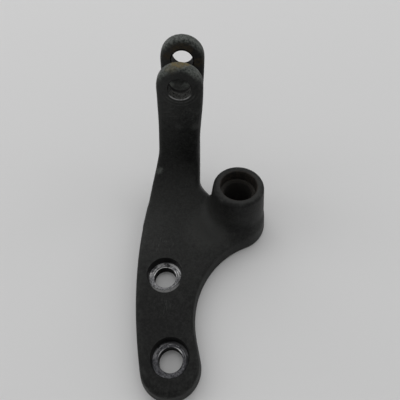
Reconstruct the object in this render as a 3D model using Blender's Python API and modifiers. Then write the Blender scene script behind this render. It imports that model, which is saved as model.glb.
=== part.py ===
"""Motorcycle footrest hanger: one iron casting with machined holes.

A flat plate bolts to the frame through two counterbored holes. A lobe on its right carries a tall tapered
boss with a stepped bore. At its far end the plate turns up through a wide bend into an arm, and the arm
ends in a clevis: two round ears with one pin hole through both.

Metres, +Z up. The origin lies on the machined back of the plate, midway between the bolt holes. +Z is the
plate's normal and the axis of the boss, and +Y is the axis of the clevis pin, towards the arm.
"""

import math

import bmesh
import bpy
import numpy as np
from mathutils import Matrix

MM = 0.001

# Plate and its bolt holes
PLATE_THICKNESS = 10.0 * MM
BOLT_SPACING = 40.3 * MM
BOLT_LINE_TURN = math.radians(8.1)  # the line of the two holes leans to the left of +Y
BOLT_HOLE_RADIUS = 5.5 * MM
COUNTERBORE_RADIUS = 8.2 * MM
COUNTERBORE_MOUTH_RADIUS = 8.7 * MM
COUNTERBORE_DEPTH = 5.2 * MM
NOSE_RADIUS = 14.1 * MM  # the round near end
NOSE_PAST_HOLE = 2.8 * MM  # its centre lies this far beyond the near hole
LEFT_EDGE_X = -18.4 * MM  # the plate's widest reach to the left
LEFT_EDGE_RADIUS = 254.0 * MM
SHOULDER_START_Y = 54.0 * MM  # where the left edge starts to turn in to the arm
SHOULDER_RADIUS = 60.0 * MM
WAIST_X = 13.3 * MM  # the deepest point of the hollow in the right edge
WAIST_RADIUS = 44.4 * MM

# Lobe and boss
LOBE_CENTRE = (32.4 * MM, 57.0 * MM)
LOBE_RADIUS = 18.2 * MM
BOSS_CENTRE = (33.9 * MM, 58.8 * MM)
BOSS_HEIGHT = 33.0 * MM
BOSS_TOP_RADIUS = 12.95 * MM
BOSS_EDGE_ROUND = 0.9 * MM
BOSS_FOOT_FILLET = 5.5 * MM
MOUTH_BORE_RADIUS = 9.3 * MM
MOUTH_BORE_DEPTH = 6.6 * MM
INNER_BORE_RADIUS = 7.3 * MM
BORE_CHAMFER = 0.5 * MM

# Bend and arm
ARM_FRONT_Y = 75.6 * MM
BEND_RADIUS = 26.0 * MM
ARM_THICKNESS = 16.0 * MM  # where the bend ends
ARM_SLANT_END = 8.0 * MM  # the arm is as deep as the clevis this far below the slot's floor
FOOT_LEFT_X = -17.2 * MM  # left edge where the bend starts
FOOT_WIDTH = 47.2 * MM  # reaches under the boss
NECK_LEFT_X = -8.1 * MM  # left edge where the bend ends
NECK_WIDTH = 21.5 * MM

# Clevis
PIN_X = 5.15 * MM
PIN_HEIGHT = 79.0 * MM
PIN_HOLE_RADIUS = 5.1 * MM
EAR_RADIUS = 10.5 * MM
EAR_THICKNESS = 5.85 * MM
SLOT_WIDTH = 15.7 * MM
SLOT_DEPTH_BELOW_PIN = 14.0 * MM
SLOT_CORNER_RADIUS = 2.0 * MM

# How the blank is cast and meshed
CAST_DRAFT = math.radians(6.1)  # plate walls and boss lean in from the back, to leave the mould
MACHINING_STOCK = 3.0 * MM  # iron beyond each machined face
CUTTER_OVERRUN = 2.0 * MM
CAST_GRAIN = 0.8 * MM  # voxel in which the patterns flow into one skin
SOFTENING_STEPS = 9  # smoothing passes, which round every cast edge to about 2 mm
CAST_SKIN_RATIO = 0.07  # share of the skin's triangles that is kept
WELD_GAP = 0.001 * MM
ROUND_STEPS = 56
ARC_STEP = math.radians(6)

# Sizes that follow
CLEVIS_DEPTH = 2 * EAR_THICKNESS + SLOT_WIDTH
ARM_REAR_Y = ARM_FRONT_Y + CLEVIS_DEPTH
SLOT_FLOOR_Z = PIN_HEIGHT - SLOT_DEPTH_BELOW_PIN
BEND_START_Y = ARM_FRONT_Y - BEND_RADIUS
BEND_CENTRE_Z = PLATE_THICKNESS + BEND_RADIUS
BEND_LENGTH = BEND_RADIUS * math.pi / 2
PATH_LENGTH = BEND_LENGTH + PIN_HEIGHT - BEND_CENTRE_Z
FAR_HOLE = (
    -math.sin(BOLT_LINE_TURN) * BOLT_SPACING / 2,
    math.cos(BOLT_LINE_TURN) * BOLT_SPACING / 2,
)
NEAR_HOLE = (-FAR_HOLE[0], -FAR_HOLE[1])
NOSE_CENTRE = (NEAR_HOLE[0], NEAR_HOLE[1] - NOSE_PAST_HOLE)


def clear_scene():
    """Remove whatever the file starts with."""
    for thing in list(bpy.data.objects):
        bpy.data.objects.remove(thing, do_unlink=True)


def new_collection(name):
    collection = bpy.data.collections.new(name)
    bpy.context.scene.collection.children.link(collection)
    return collection


def add_object(name, mesh, collection):
    thing = bpy.data.objects.new(name, mesh)
    collection.objects.link(thing)
    return thing


def as_helper(thing):
    """Keep a pattern or a cutter out of the render, as a wire outline."""
    thing.hide_render = True
    thing.display_type = "WIRE"
    return thing


def arc(centre, radius, start, end):
    """Points of an arc from the start angle to the end angle, both ends included."""
    count = max(2, round(abs(end - start) / ARC_STEP)) + 1
    turn = np.linspace(start, end, count)
    return np.column_stack(
        (centre[0] + radius * np.cos(turn), centre[1] + radius * np.sin(turn))
    )


def heading(start, end):
    """The angle of the line from one point to another."""
    return math.atan2(end[1] - start[1], end[0] - start[0])


def plate_outline(far_y, inset=0.0):
    """The plate seen from above, anticlockwise from the nose, cut off straight at far_y.

    The hollow of the waist is an arc that touches the lobe. A straight flank touches that arc and the nose.
    The long left edge touches the nose from outside, and the shoulder turns it in towards the arm. An inset
    draws every arc in about its own centre, so that the drafted walls stay even.
    """
    waist_x = WAIST_X + WAIST_RADIUS
    reach = WAIST_RADIUS + LOBE_RADIUS
    waist_y = LOBE_CENTRE[1] - math.sqrt(reach**2 - (waist_x - LOBE_CENTRE[0]) ** 2)
    waist = (waist_x, waist_y)
    lobe_touch = heading(LOBE_CENTRE, waist)

    gap = math.dist(NOSE_CENTRE, waist)
    flank = heading(NOSE_CENTRE, waist) - math.acos(
        min(1.0, (WAIST_RADIUS + NOSE_RADIUS) / gap)
    )

    left_x = LEFT_EDGE_X + LEFT_EDGE_RADIUS
    reach = LEFT_EDGE_RADIUS - NOSE_RADIUS
    left_y = NOSE_CENTRE[1] + math.sqrt(reach**2 - (left_x - NOSE_CENTRE[0]) ** 2)
    left = (left_x, left_y)
    nose_touch = heading(left, NOSE_CENTRE)
    shoulder_touch = math.pi - math.asin((SHOULDER_START_Y - left_y) / LEFT_EDGE_RADIUS)
    inward = LEFT_EDGE_RADIUS - SHOULDER_RADIUS
    shoulder = (
        left_x + inward * math.cos(shoulder_touch),
        left_y + inward * math.sin(shoulder_touch),
    )
    shoulder_end = math.pi - math.asin((far_y - shoulder[1]) / SHOULDER_RADIUS)
    lobe_rise = (far_y - LOBE_CENTRE[1]) / LOBE_RADIUS
    lobe_end = math.pi - math.asin(min(1.0, max(-1.0, lobe_rise)))

    full_turn = 2 * math.pi
    return np.vstack(
        (
            arc(NOSE_CENTRE, NOSE_RADIUS - inset, nose_touch, flank),
            arc(waist, WAIST_RADIUS + inset, math.pi + flank, lobe_touch + math.pi),
            arc(LOBE_CENTRE, LOBE_RADIUS - inset, lobe_touch, lobe_end),
            arc(shoulder, SHOULDER_RADIUS - inset, shoulder_end, shoulder_touch),
            arc(left, LEFT_EDGE_RADIUS - inset, shoulder_touch, nose_touch + full_turn),
        )
    )


def prism(name, outline, low, high, collection):
    """A flat outline in XY raised from low to high, made as a filled 2D curve."""
    curve = bpy.data.curves.new(name, "CURVE")
    curve.dimensions = "2D"
    curve.fill_mode = "BOTH"
    curve.extrude = (high - low) / 2
    spline = curve.splines.new("POLY")
    spline.points.add(len(outline) - 1)
    for point, (x, y) in zip(spline.points, outline):
        point.co = (x, y, 0, 1)
    spline.use_cyclic_u = True
    drawn = add_object(name, curve, collection)
    drawn.location.z = (low + high) / 2
    bpy.context.view_layer.update()
    graph = bpy.context.evaluated_depsgraph_get()
    mesh = bpy.data.meshes.new_from_object(drawn.evaluated_get(graph))
    mesh.transform(drawn.matrix_world)
    bpy.data.objects.remove(drawn, do_unlink=True)
    weld(mesh)
    return add_object(name, mesh, collection)


def weld(mesh):
    """Join a mesh's doubled points and turn its faces outwards."""
    shape = bmesh.new()
    shape.from_mesh(mesh)
    bmesh.ops.remove_doubles(shape, verts=shape.verts, dist=WELD_GAP)
    bmesh.ops.recalc_face_normals(shape, faces=shape.faces)
    shape.to_mesh(mesh)
    shape.free()


def turned(name, profile, centre, collection):
    """A profile of (radius, height) points, top to bottom, turned about a vertical axis."""
    mesh = bpy.data.meshes.new(name)
    points = [(radius, 0, height) for radius, height in profile]
    mesh.from_pydata(points, [(i, i + 1) for i in range(len(points) - 1)], [])
    body = add_object(name, mesh, collection)
    body.location = (centre[0], centre[1], 0)
    screw = body.modifiers.new("turn", "SCREW")
    screw.axis = "Z"
    screw.steps = screw.render_steps = ROUND_STEPS
    screw.use_merge_vertices = True
    screw.merge_threshold = WELD_GAP
    return body


def cylinder_along_y(name, radius, x, z, near_y, far_y, collection):
    """A closed cylinder whose axis runs along Y."""
    mesh = bpy.data.meshes.new(name)
    shape = bmesh.new()
    place = Matrix.Translation((x, (near_y + far_y) / 2, z)) @ Matrix.Rotation(
        math.pi / 2, 4, "X"
    )
    bmesh.ops.create_cone(
        shape,
        cap_ends=True,
        segments=ROUND_STEPS,
        radius1=radius,
        radius2=radius,
        depth=far_y - near_y,
        matrix=place,
    )
    shape.to_mesh(mesh)
    shape.free()
    return add_object(name, mesh, collection)


def box(name, low, high, collection):
    """A closed box between two corners."""
    low, high = np.array(low), np.array(high)
    mesh = bpy.data.meshes.new(name)
    shape = bmesh.new()
    place = Matrix.Translation((low + high) / 2) @ Matrix.Diagonal((*(high - low), 1))
    bmesh.ops.create_cube(shape, size=1, matrix=place)
    shape.to_mesh(mesh)
    shape.free()
    return add_object(name, mesh, collection)


def boolean(target, operation, tool):
    cut = target.modifiers.new(tool.name, "BOOLEAN")
    cut.operation = operation
    cut.solver = "EXACT"
    cut.object = tool


def blend(value, knots, levels):
    """Ease smoothly from level to level as the value passes the knots."""
    result = np.full_like(value, levels[0])
    for low, high, before, after in zip(knots, knots[1:], levels, levels[1:]):
        share = np.clip((value - low) / (high - low), 0, 1)
        result = result + (after - before) * share * share * (3 - 2 * share)
    return result


def arm_sections():
    """Left edge, right edge and thickness of the bar at each station along its front face.

    The stations are lengths along the front face, from the start of the bend to the height of the pin.
    The left edge eases in from the plate's width to the neck's and then to the ears'. The right edge drops
    off the boss within the first half of the bend.
    """
    start = -BEND_RADIUS / 6
    station = np.concatenate(
        (
            [start],
            np.linspace(0, BEND_LENGTH, 25),
            np.linspace(BEND_LENGTH, PATH_LENGTH, 17)[1:],
        )
    )
    ear_left, ear_right = PIN_X - EAR_RADIUS, PIN_X + EAR_RADIUS
    neck_right = NECK_LEFT_X + NECK_WIDTH
    left = np.interp(
        station,
        [0, BEND_LENGTH / 2, BEND_LENGTH, (BEND_LENGTH + PATH_LENGTH) / 2, PATH_LENGTH],
        [
            FOOT_LEFT_X,
            0.6 * FOOT_LEFT_X + 0.4 * NECK_LEFT_X,
            NECK_LEFT_X,
            0.65 * ear_left + 0.35 * NECK_LEFT_X,
            ear_left,
        ],
    )
    right = blend(
        station,
        [BEND_LENGTH * 0.2, BEND_LENGTH * 0.55, BEND_LENGTH, PATH_LENGTH],
        [FOOT_LEFT_X + FOOT_WIDTH, neck_right, neck_right, ear_right],
    )
    slant_end = BEND_LENGTH + SLOT_FLOOR_Z - ARM_SLANT_END - BEND_CENTRE_Z
    thickness = np.interp(
        station,
        [0, BEND_LENGTH, slant_end],
        [PLATE_THICKNESS + MACHINING_STOCK, ARM_THICKNESS, CLEVIS_DEPTH],
    )
    return station, left, right, thickness


def on_front_face(station):
    """Place (y, z) and inward direction (y, z) of points along the front face of plate, bend and arm."""
    turn = np.clip(station, 0, BEND_LENGTH) / BEND_RADIUS
    before = np.minimum(station, 0)
    after = np.maximum(station - BEND_LENGTH, 0)
    y = BEND_START_Y + before + BEND_RADIUS * np.sin(turn)
    z = BEND_CENTRE_Z - BEND_RADIUS * np.cos(turn) + after
    return y, z, np.sin(turn), -np.cos(turn)


def loft(name, rings, collection):
    """A closed solid through sections that all have as many points, with its two ends filled."""
    count, size = rings.shape[:2]
    faces = [tuple(range(size)), tuple(range((count - 1) * size, count * size))]
    for ring in range(count - 1):
        for point in range(size):
            beside = (point + 1) % size
            low, high = size * ring, size * (ring + 1)
            faces.append((low + point, low + beside, high + beside, high + point))
    mesh = bpy.data.meshes.new(name)
    mesh.from_pydata(rings.reshape(-1, 3).tolist(), [], faces)
    weld(mesh)
    return add_object(name, mesh, collection)


def plate_pattern(collection):
    """The plate as far as the lobe reaches beside the bend, with its walls drawn in by the draft."""
    far_y = LOBE_CENTRE[1] + LOBE_RADIUS / 3
    low = -MACHINING_STOCK
    rings = []
    for z in (low, PLATE_THICKNESS):
        outline = plate_outline(far_y, z * math.tan(CAST_DRAFT))
        rings.append(np.column_stack((outline, np.full(len(outline), z))))
    return loft("plate_pattern", np.array(rings), collection)


def arm_pattern(collection):
    """The bar that is bent up from the plate: a loft of oblong sections along its front face."""
    station, left, right, thickness = arm_sections()
    y, z, inward_y, inward_z = on_front_face(station)
    back_y, back_z = y + inward_y * thickness, z + inward_z * thickness
    rings = np.stack(
        (
            np.column_stack((left, y, z)),
            np.column_stack((right, y, z)),
            np.column_stack((right, back_y, back_z)),
            np.column_stack((left, back_y, back_z)),
        ),
        axis=1,
    )
    return loft("arm_pattern", rings, collection)


def boss_radius(z):
    """The tapered boss's radius at a height, before its foot flares out."""
    return BOSS_TOP_RADIUS + (BOSS_HEIGHT - z) * math.tan(CAST_DRAFT)


def boss_pattern(collection):
    top, low = BOSS_HEIGHT + MACHINING_STOCK, -MACHINING_STOCK
    profile = [(0, top), (boss_radius(top), top), (boss_radius(low), low), (0, low)]
    return turned("boss_pattern", profile, BOSS_CENTRE, collection)


def foot_pattern(collection):
    """The fillet round the foot of the boss, kept within the plate's own outline."""
    fillet_z = PLATE_THICKNESS + BOSS_FOOT_FILLET
    centre = (boss_radius(fillet_z) + BOSS_FOOT_FILLET, fillet_z)
    hollow = arc(centre, BOSS_FOOT_FILLET, math.pi, 1.5 * math.pi)
    low = -MACHINING_STOCK
    profile = [(0, fillet_z), *map(tuple, hollow), (centre[0], low), (0, low)]
    foot = turned("foot_pattern", profile, BOSS_CENTRE, collection)
    far_y = LOBE_CENTRE[1] + LOBE_RADIUS * 0.5
    outline = plate_outline(far_y, PLATE_THICKNESS * math.tan(CAST_DRAFT))
    inside = prism("foot_limit", outline, 2 * low, 2 * fillet_z, collection)
    boolean(foot, "INTERSECT", as_helper(inside))
    return foot


def ear_pattern(collection):
    return cylinder_along_y(
        "ear_pattern",
        EAR_RADIUS,
        PIN_X,
        PIN_HEIGHT,
        ARM_FRONT_Y,
        ARM_REAR_Y,
        collection,
    )


def joined_mesh(name, patterns):
    """One mesh that holds every pattern as it stands, for the casting skin to run round."""
    bpy.context.view_layer.update()
    graph = bpy.context.evaluated_depsgraph_get()
    shape = bmesh.new()
    for pattern in patterns:
        mesh = bpy.data.meshes.new_from_object(pattern.evaluated_get(graph))
        mesh.transform(pattern.matrix_world)
        shape.from_mesh(mesh)
        bpy.data.meshes.remove(mesh)
    mesh = bpy.data.meshes.new(name)
    shape.to_mesh(mesh)
    shape.free()
    return mesh


def cast(patterns, collection):
    """The raw casting: one skin round all the patterns, with its edges and corners run soft."""
    casting = add_object("hanger_casting", joined_mesh("casting", patterns), collection)
    skin = casting.modifiers.new("skin", "REMESH")
    skin.mode = "VOXEL"
    skin.voxel_size = CAST_GRAIN
    soft = casting.modifiers.new("soften", "SMOOTH")
    soft.factor = 0.5
    soft.iterations = SOFTENING_STEPS
    light = casting.modifiers.new("lighten", "DECIMATE")
    light.ratio = CAST_SKIN_RATIO
    return casting


def back_face_cutter(collection):
    """Planes the back of the plate flat at z = 0."""
    reach = 2 * (PATH_LENGTH + BOLT_SPACING)
    low = (-reach, -reach, -reach)
    return box("back_face_cutter", low, (reach, reach, 0), collection)


def bolt_hole_cutter(name, centre, collection):
    """A through hole under a slightly tapered counterbore."""
    mouth_z = PLATE_THICKNESS + CUTTER_OVERRUN
    floor_z = PLATE_THICKNESS - COUNTERBORE_DEPTH
    widening = (COUNTERBORE_MOUTH_RADIUS - COUNTERBORE_RADIUS) / COUNTERBORE_DEPTH
    mouth_radius = COUNTERBORE_MOUTH_RADIUS + widening * CUTTER_OVERRUN
    profile = [
        (0, mouth_z),
        (mouth_radius, mouth_z),
        (COUNTERBORE_RADIUS, floor_z),
        (BOLT_HOLE_RADIUS, floor_z),
        (BOLT_HOLE_RADIUS, -CUTTER_OVERRUN),
        (0, -CUTTER_OVERRUN),
    ]
    return turned(name, profile, centre, collection)


def boss_face_cutter(collection):
    """Faces the top of the boss and rounds its rim."""
    rim = BOSS_TOP_RADIUS - BOSS_EDGE_ROUND
    low = BOSS_HEIGHT - BOSS_EDGE_ROUND
    high = BOSS_HEIGHT + 2 * MACHINING_STOCK
    outside = BOSS_TOP_RADIUS + 2 * MACHINING_STOCK
    rounding = arc((rim, low), BOSS_EDGE_ROUND, 0, math.pi / 2)
    profile = [(0, high), (outside, high), (outside, low)]
    profile += [*map(tuple, rounding), (0, BOSS_HEIGHT)]
    return turned("boss_face_cutter", profile, BOSS_CENTRE, collection)


def boss_bore_cutter(collection):
    """The stepped bore: a wide mouth down to a ledge, and a narrower bore right through."""
    ledge_z = BOSS_HEIGHT - MOUTH_BORE_DEPTH
    lip = MOUTH_BORE_RADIUS + BORE_CHAMFER
    profile = [
        (0, BOSS_HEIGHT + CUTTER_OVERRUN),
        (lip, BOSS_HEIGHT + CUTTER_OVERRUN),
        (lip, BOSS_HEIGHT),
        (MOUTH_BORE_RADIUS, BOSS_HEIGHT - BORE_CHAMFER),
        (MOUTH_BORE_RADIUS, ledge_z),
        (INNER_BORE_RADIUS, ledge_z),
        (INNER_BORE_RADIUS, -CUTTER_OVERRUN),
        (0, -CUTTER_OVERRUN),
    ]
    return turned("boss_bore_cutter", profile, BOSS_CENTRE, collection)


def slot_cutter(collection):
    """The gap between the ears, with its floor's corners rounded."""
    near_y = ARM_FRONT_Y + EAR_THICKNESS
    far_y = near_y + SLOT_WIDTH
    top_z = PIN_HEIGHT + EAR_RADIUS + CUTTER_OVERRUN
    corner = min(SLOT_CORNER_RADIUS, SLOT_WIDTH / 2.1)
    near_corner = (near_y + corner, SLOT_FLOOR_Z + corner)
    far_corner = (far_y - corner, SLOT_FLOOR_Z + corner)
    outline = np.vstack(
        (
            [(near_y, top_z)],
            arc(near_corner, corner, math.pi, 1.5 * math.pi),
            arc(far_corner, corner, 1.5 * math.pi, 2 * math.pi),
            [(far_y, top_z)],
        )
    )
    half = EAR_RADIUS + EAR_THICKNESS
    slot = prism("slot_cutter", outline, PIN_X - half, PIN_X + half, collection)
    # The outline was drawn in XY and raised along Z: turn X to Y, Y to Z and Z to X.
    slot.data.transform(
        Matrix(((0, 0, 1, 0), (1, 0, 0, 0), (0, 1, 0, 0), (0, 0, 0, 1)))
    )
    return slot


def pin_hole_cutter(collection):
    return cylinder_along_y(
        "pin_hole_cutter",
        PIN_HOLE_RADIUS,
        PIN_X,
        PIN_HEIGHT,
        ARM_FRONT_Y - CUTTER_OVERRUN,
        ARM_REAR_Y + CUTTER_OVERRUN,
        collection,
    )


def painted_iron():
    """Satin black paint on cast iron."""
    material = bpy.data.materials.new("painted_cast_iron")
    material.use_nodes = True
    shader = material.node_tree.nodes["Principled BSDF"]
    shader.inputs["Base Color"].default_value = (0.022, 0.022, 0.020, 1)
    shader.inputs["Roughness"].default_value = 0.42
    shader.inputs["Metallic"].default_value = 0.2
    return material


def build():
    clear_scene()
    parts = new_collection("footrest_hanger")
    patterns = new_collection("patterns")
    cutters = new_collection("cutters")

    shapes = [
        plate_pattern(patterns),
        boss_pattern(patterns),
        foot_pattern(patterns),
        arm_pattern(patterns),
        ear_pattern(patterns),
    ]
    tools = [
        back_face_cutter(cutters),
        bolt_hole_cutter("near_bolt_hole_cutter", NEAR_HOLE, cutters),
        bolt_hole_cutter("far_bolt_hole_cutter", FAR_HOLE, cutters),
        boss_face_cutter(cutters),
        boss_bore_cutter(cutters),
        slot_cutter(cutters),
        pin_hole_cutter(cutters),
    ]
    casting = cast(shapes, parts)
    casting.data.materials.append(painted_iron())
    for tool in tools:
        boolean(casting, "DIFFERENCE", tool)
    for helper in shapes + tools:
        as_helper(helper)


build()
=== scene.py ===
"""The look of a worn motorcycle footrest hanger: one iron casting in satin black paint.

The casting's skin is the zero level of a signed distance, worked out on a grid from the hanger's own sizes
and meshed with quads. Its holes are then cut with turned tools. Lengths are in metres, in the frame of the
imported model: the origin lies on the plate's back, midway between the bolt holes, +Z leaves the plate, and
+Y runs towards the arm.
"""

import logging
import math
from dataclasses import dataclass, field
from enum import Enum
from functools import reduce
from itertools import product
from operator import or_

import bmesh
import bpy
import numpy as np
from mathutils import Matrix, Vector


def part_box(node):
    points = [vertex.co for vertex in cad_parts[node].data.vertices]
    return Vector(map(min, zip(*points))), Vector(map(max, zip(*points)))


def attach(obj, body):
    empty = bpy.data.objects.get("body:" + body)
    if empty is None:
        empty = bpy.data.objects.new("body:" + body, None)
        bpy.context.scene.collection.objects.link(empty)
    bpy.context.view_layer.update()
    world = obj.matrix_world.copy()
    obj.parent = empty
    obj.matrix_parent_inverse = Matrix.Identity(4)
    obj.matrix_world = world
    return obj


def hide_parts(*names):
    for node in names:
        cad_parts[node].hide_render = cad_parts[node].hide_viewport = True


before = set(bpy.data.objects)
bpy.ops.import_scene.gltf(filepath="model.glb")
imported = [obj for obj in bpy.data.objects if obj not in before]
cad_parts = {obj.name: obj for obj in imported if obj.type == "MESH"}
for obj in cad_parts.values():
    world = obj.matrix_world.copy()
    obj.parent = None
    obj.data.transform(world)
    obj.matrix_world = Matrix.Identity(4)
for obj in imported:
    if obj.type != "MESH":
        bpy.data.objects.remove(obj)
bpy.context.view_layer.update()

MM = 0.001
NODE = "hanger_casting"
LIP_TURN = math.radians(112)
LIP_STEP = 12

Array = np.ndarray
Socket = bpy.types.NodeSocket
Pair = tuple[float, float]
Triple = tuple[float, float, float]
Colour = tuple[float, float, float]

log = logging.getLogger("footrest_hanger")


class Surface(Enum):
    """The finishes of the casting, in the order of its material slots."""

    CAST_SKIN = 0
    BOLT_SEAT = 1
    BOSS_BORE = 2
    PIN_HOLE = 3


def round_max(first: Array, second: Array, radius: float | Array) -> Array:
    """The larger of two distances, or by the edge the hypotenuse of both plus its radius, less the radius."""
    corner = np.hypot(np.maximum(first + radius, 0), np.maximum(second + radius, 0))
    return np.minimum(np.maximum(first, second), -radius) + corner


def round_min(first: Array, second: Array, radius: float | Array) -> Array:
    """The lesser of two distances, with a fillet between the shapes: the same rule for their outsides."""
    return -round_max(-first, -second, radius)


def ease(value: Array, low: float, high: float) -> Array:
    """A smooth step from 0 at low to 1 at high: three times the square of the share, less twice its cube."""
    share = np.clip((value - low) / (high - low), 0, 1)
    return share * share * (3 - 2 * share)


def soft_line(value: Array, knots: list[float], levels: list[float], window: float) -> Array:
    """A line through levels at knots, with its corners rounded by its mean over a window."""
    offsets = np.linspace(-window / 2, window / 2, 9)
    return sum(np.interp(value + offset, knots, levels) for offset in offsets) / len(offsets)


def arc(centre: Pair, radius: float, start: float, end: float, step: float = 2.5) -> Array:
    """Points on an arc, at most a step in degrees apart: radius times cosine and sine, plus centre."""
    turn = np.linspace(start, end, max(3, math.ceil(abs(end - start) / math.radians(step))) + 1)
    return np.column_stack((np.cos(turn), np.sin(turn))) * radius + centre


def flared_lip(radius: float, top: float, size: float) -> list[Pair]:
    """The end of a hole's profile: its rounded lip, and on past the top face to the axis.

    Args:
        radius: The hole's radius.
        top: Height of the face that it opens in.
        size: Radius of the lip.

    Returns:
        The points, as radius and height.
    """
    lip = arc((radius + size, top - size), size, math.pi, LIP_TURN, LIP_STEP)
    past, flare = top + 0.5 * MM, 1.2 * MM
    return [*map(tuple, lip), (lip[-1][0] + flare, past), (0, past)]


def heading(start: Pair, end: Pair) -> float:
    """The angle of the line from one point to another."""
    return math.atan2(end[1] - start[1], end[0] - start[0])


def outline_distance(outline: Array, x: Array, y: Array) -> Array:
    """Signed distance from points to a closed outline, below zero inside.

    The distance is the least of those to the outline's sides. A point is inside if a ray from it crosses
    the sides an odd number of times.

    Args:
        outline: The outline's corners, one to a row.
        x: The points' first coordinate.
        y: Their second.

    Returns:
        The distances, in the shape that x and y broadcast to.
    """
    x, y = np.broadcast_arrays(x, y)
    nearest = np.full(x.shape, np.inf)
    inside = np.zeros(x.shape, bool)
    for (start_x, start_y), (end_x, end_y) in zip(outline, np.roll(outline, -1, axis=0)):
        side_x, side_y = end_x - start_x, end_y - start_y
        from_x, from_y = x - start_x, y - start_y
        share = (from_x * side_x + from_y * side_y) / max(side_x**2 + side_y**2, 1e-18)
        share = np.clip(share, 0, 1)
        gap = (from_x - share * side_x) ** 2 + (from_y - share * side_y) ** 2
        nearest = np.minimum(nearest, gap)
        if start_y != end_y:
            spans = (start_y > y) != (end_y > y)
            inside ^= spans & (from_x < from_y * side_x / side_y)
    return np.sqrt(nearest) * np.where(inside, -1, 1)


@dataclass
class Plate:
    """The flat plate, with its lobe and its two counterbored bolt holes."""

    thickness: float = 10.0 * MM
    draft: float = math.radians(6.1)
    edge_round: float = 2.2 * MM
    back_edge_round: float = 0.7 * MM
    bolt_spacing: float = 40.3 * MM
    bolt_line_turn: float = math.radians(8.1)
    bolt_hole_radius: float = 5.5 * MM
    seat_radius: float = 8.2 * MM
    seat_mouth_radius: float = 8.5 * MM
    seat_depth: float = 5.2 * MM
    mouth_round: float = 0.4 * MM
    tool_start: float = -1.0 * MM
    nose_radius: float = 14.1 * MM
    nose_past_hole: float = 2.8 * MM
    left_edge_x: float = -18.4 * MM
    left_edge_radius: float = 254.0 * MM
    shoulder_start_y: float = 54.0 * MM
    shoulder_radius: float = 60.0 * MM
    waist_x: float = 13.3 * MM
    waist_radius: float = 44.4 * MM
    lobe_centre: Pair = (32.4 * MM, 57.0 * MM)
    lobe_radius: float = 18.2 * MM

    @property
    def holes(self) -> list[Pair]:
        """Centres of the near and the far bolt hole, half the spacing each way along the leaning line."""
        half, turn = self.bolt_spacing / 2, self.bolt_line_turn
        return [(-side * half * math.sin(turn), side * half * math.cos(turn)) for side in (-1, 1)]

    def outline(self) -> Array:
        """The plate's back seen from above, as arcs that touch each other.

        The waist's arc touches the lobe, a straight flank touches the waist's arc and the nose, the long
        left edge touches the nose from outside, and the shoulder turns it in towards the arm.

        Returns:
            The outline's points, anticlockwise from the nose.
        """
        near, lobe = self.holes[0], self.lobe_centre
        nose = (near[0], near[1] - self.nose_past_hole)
        far_y = lobe[1] + self.lobe_radius / 3

        waist_x = self.waist_x + self.waist_radius
        reach = self.waist_radius + self.lobe_radius
        waist = (waist_x, lobe[1] - math.sqrt(reach**2 - (waist_x - lobe[0]) ** 2))
        lobe_touch = heading(lobe, waist)
        lobe_end = math.pi - math.asin((far_y - lobe[1]) / self.lobe_radius)
        reach = self.waist_radius + self.nose_radius
        flank = heading(nose, waist) - math.acos(reach / math.dist(nose, waist))

        left_x = self.left_edge_x + self.left_edge_radius
        reach = self.left_edge_radius - self.nose_radius
        left = (left_x, nose[1] + math.sqrt(reach**2 - (left_x - nose[0]) ** 2))
        nose_touch = heading(left, nose)
        shoulder_touch = math.pi - math.asin((self.shoulder_start_y - left[1]) / self.left_edge_radius)
        inward = self.left_edge_radius - self.shoulder_radius
        away = (inward * math.cos(shoulder_touch), inward * math.sin(shoulder_touch))
        shoulder = (left[0] + away[0], left[1] + away[1])
        shoulder_end = math.pi - math.asin((far_y - shoulder[1]) / self.shoulder_radius)
        arcs = [
            arc(nose, self.nose_radius, nose_touch, flank),
            arc(waist, self.waist_radius, math.pi + flank, lobe_touch + math.pi),
            arc(lobe, self.lobe_radius, lobe_touch, lobe_end),
            arc(shoulder, self.shoulder_radius, shoulder_end, shoulder_touch),
            arc(left, self.left_edge_radius, shoulder_touch, nose_touch + 2 * math.pi, step=0.5),
        ]
        return np.vstack(arcs)

    def wall_distance(self, x: Array, y: Array, z: Array) -> Array:
        """Distance to the drafted walls: that to the outline plus the height times the draft's tangent."""
        return outline_distance(self.outline(), x, y) + z * math.tan(self.draft)

    def seat_tools(self) -> list["TurnedTool"]:
        """The tools that cut the bolt holes.

        Each is a profile of the bolt hole, the flat seat, the slightly tapered counterbore and its rounded
        mouth, turned about the hole's axis.

        Returns:
            One tool for each hole.
        """
        floor = self.thickness - self.seat_depth
        profile = [
            (0, self.tool_start),
            (self.bolt_hole_radius, self.tool_start),
            (self.bolt_hole_radius, floor),
            (self.seat_radius, floor),
            *flared_lip(self.seat_mouth_radius, self.thickness, self.mouth_round),
        ]
        return [TurnedTool(profile, (x, y, 0), "Z") for x, y in self.holes]


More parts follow.
